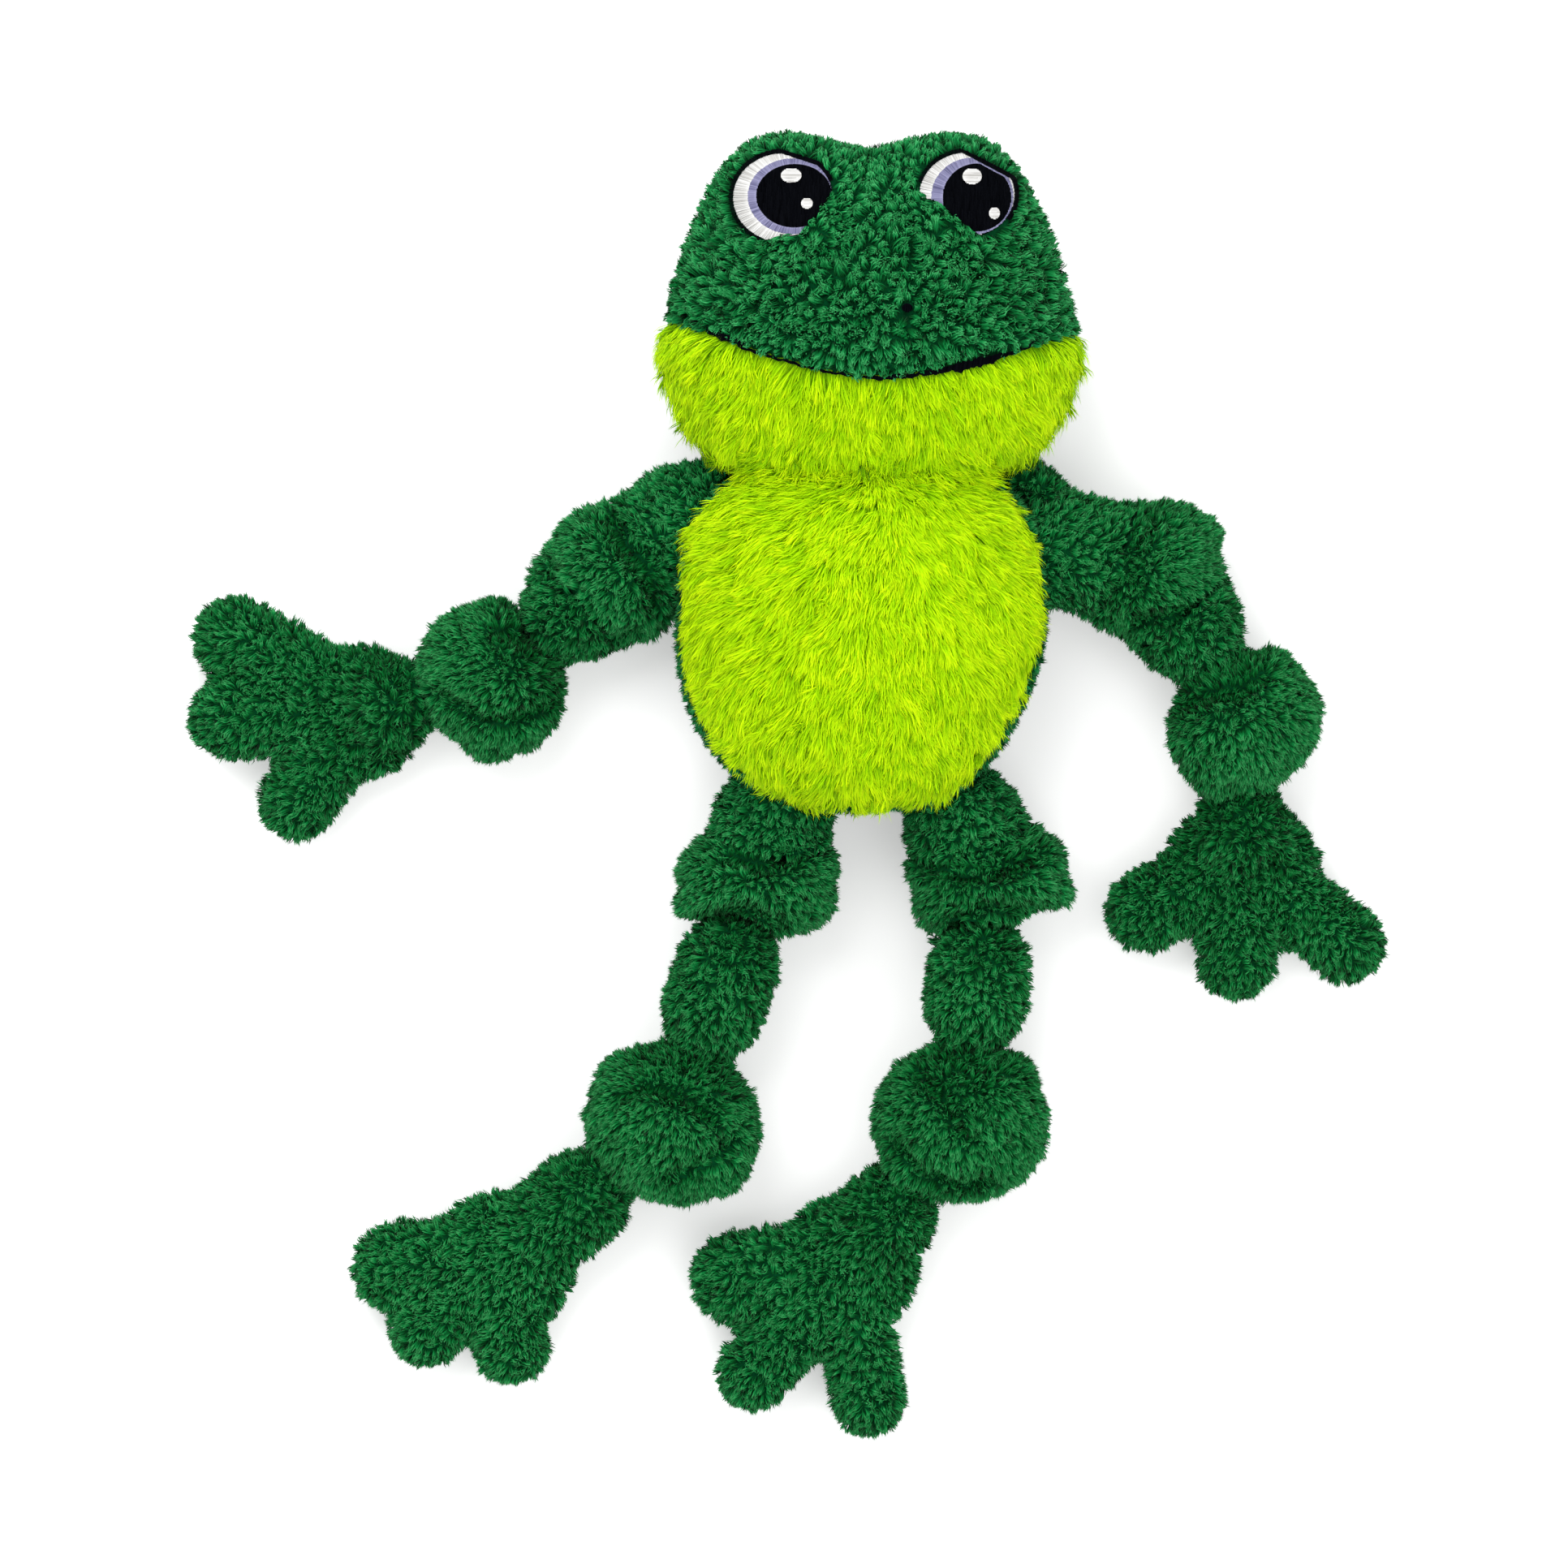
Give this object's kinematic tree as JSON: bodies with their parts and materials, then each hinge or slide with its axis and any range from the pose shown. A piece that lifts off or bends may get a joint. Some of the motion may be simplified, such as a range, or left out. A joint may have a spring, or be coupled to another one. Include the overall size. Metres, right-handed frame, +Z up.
{
  "type": "plush frog",
  "caption": "Soft plush frog with a lime belly and chin, embroidered eyes and long knotted arms and legs that end in toed paws.",
  "frame": {"origin": "middle of the flat patch under the torso's back, on the surface that the frog lies on", "axes": "+X across the frog to the right of the picture, +Y from the feet to the head, +Z up from the back to the face"},
  "size_m": [0.4573, 0.4961, 0.0995],
  "materials": {
    "crown_fleece": "curled fleece",
    "limb_fleece": "curled fleece",
    "lime_pile": "long brushed pile",
    "filling": "loose fibre",
    "thread": "satin stitch"
  },
  "bodies": {
    "torso": {"torso_back": "limb_fleece", "belly_panel": "lime_pile", "torso_stuffing": "filling", "neck_stuffing": "filling"},
    "head": {"head_crown": "crown_fleece", "chin_panel": "lime_pile", "head_stuffing": "filling", "eye_left": "thread", "eye_right": "thread", "mouth_line": "thread", "nostril": "thread"},
    "left_upper_arm": {"left_arm_sleeve": "limb_fleece", "left_arm_upper_knot": "limb_fleece", "left_arm_tube": "limb_fleece"},
    "left_forearm": {"left_arm_lower_knot": "limb_fleece"},
    "left_hand": {"left_hand": "limb_fleece"},
    "left_thigh": {"left_leg_sleeve": "limb_fleece", "left_leg_upper_knot": "limb_fleece"},
    "left_shin": {"left_leg_shin": "limb_fleece"},
    "left_ankle": {"left_leg_lower_knot": "limb_fleece"},
    "left_foot": {"left_foot": "limb_fleece"},
    "right_upper_arm": {"right_arm_sleeve": "limb_fleece", "right_arm_upper_knot": "limb_fleece", "right_arm_tube": "limb_fleece"},
    "right_forearm": {"right_arm_lower_knot": "limb_fleece"},
    "right_hand": {"right_hand": "limb_fleece"},
    "right_thigh": {"right_leg_sleeve": "limb_fleece", "right_leg_upper_knot": "limb_fleece"},
    "right_shin": {"right_leg_shin": "limb_fleece"},
    "right_ankle": {"right_leg_lower_knot": "limb_fleece"},
    "right_foot": {"right_foot": "limb_fleece"}
  },
  "joints": [
    {"name": "neck_nod", "type": "hinge", "parent": "torso", "child": "head", "pos_m": [0.002, 0.0628, 0.0455], "axis": [1, 0, 0], "range_deg": [0, 18]},
    {"name": "left_shoulder_swing", "type": "hinge", "parent": "torso", "child": "left_upper_arm", "pos_m": [-0.06792, 0.04511, 0.03], "axis": [0, 0, -1], "range_deg": [0, 45]},
    {"name": "left_elbow_lift", "type": "hinge", "parent": "left_upper_arm", "child": "left_forearm", "pos_m": [-0.10772, 0.01316, 0.03], "axis": [-0.6481, 0.7615, 0], "range_deg": [0, 50]},
    {"name": "left_wrist_swing", "type": "hinge", "parent": "left_forearm", "child": "left_hand", "pos_m": [-0.1808, -0.02436, 0.0235], "axis": [0, 0, -1], "range_deg": [-25, 25]},
    {"name": "left_hip_lift", "type": "hinge", "parent": "torso", "child": "left_thigh", "pos_m": [-0.03396, -0.06983, 0.03], "axis": [-0.9677, 0.2521, 0], "range_deg": [0, 40]},
    {"name": "left_knee_swing", "type": "hinge", "parent": "left_thigh", "child": "left_shin", "pos_m": [-0.05099, -0.12383, 0.03], "axis": [0, 0, -1], "range_deg": [-3, 30]},
    {"name": "left_shin_lift", "type": "hinge", "parent": "left_shin", "child": "left_ankle", "pos_m": [-0.05622, -0.13861, 0.03], "axis": [-0.9426, 0.3338, 0], "range_deg": [0, 45]},
    {"name": "left_ankle_swing", "type": "hinge", "parent": "left_ankle", "child": "left_foot", "pos_m": [-0.10727, -0.21184, 0.0235], "axis": [0, 0, -1], "range_deg": [-10, 25]},
    {"name": "right_shoulder_swing", "type": "hinge", "parent": "torso", "child": "right_upper_arm", "pos_m": [0.07593, 0.03523, 0.03], "axis": [0, 0, 1], "range_deg": [0, 45]},
    {"name": "right_elbow_lift", "type": "hinge", "parent": "right_upper_arm", "child": "right_forearm", "pos_m": [0.12377, 0.00603, 0.03], "axis": [-0.8686, -0.4955, 0], "range_deg": [0, 50]},
    {"name": "right_wrist_swing", "type": "hinge", "parent": "right_forearm", "child": "right_hand", "pos_m": [0.14453, -0.0728, 0.0235], "axis": [0, 0, 1], "range_deg": [-25, 25]},
    {"name": "right_hip_lift", "type": "hinge", "parent": "torso", "child": "right_thigh", "pos_m": [0.03932, -0.07068, 0.03], "axis": [-0.9128, -0.4083, 0], "range_deg": [0, 40]},
    {"name": "right_knee_swing", "type": "hinge", "parent": "right_thigh", "child": "right_shin", "pos_m": [0.04448, -0.12457, 0.03], "axis": [0, 0, 1], "range_deg": [-3, 30]},
    {"name": "right_shin_lift", "type": "hinge", "parent": "right_shin", "child": "right_ankle", "pos_m": [0.04308, -0.13598, 0.03], "axis": [-0.9925, 0.1219, 0], "range_deg": [0, 45]},
    {"name": "right_ankle_swing", "type": "hinge", "parent": "right_ankle", "child": "right_foot", "pos_m": [0.00889, -0.21837, 0.0235], "axis": [0, 0, 1], "range_deg": [-5, 25]}
  ]
}
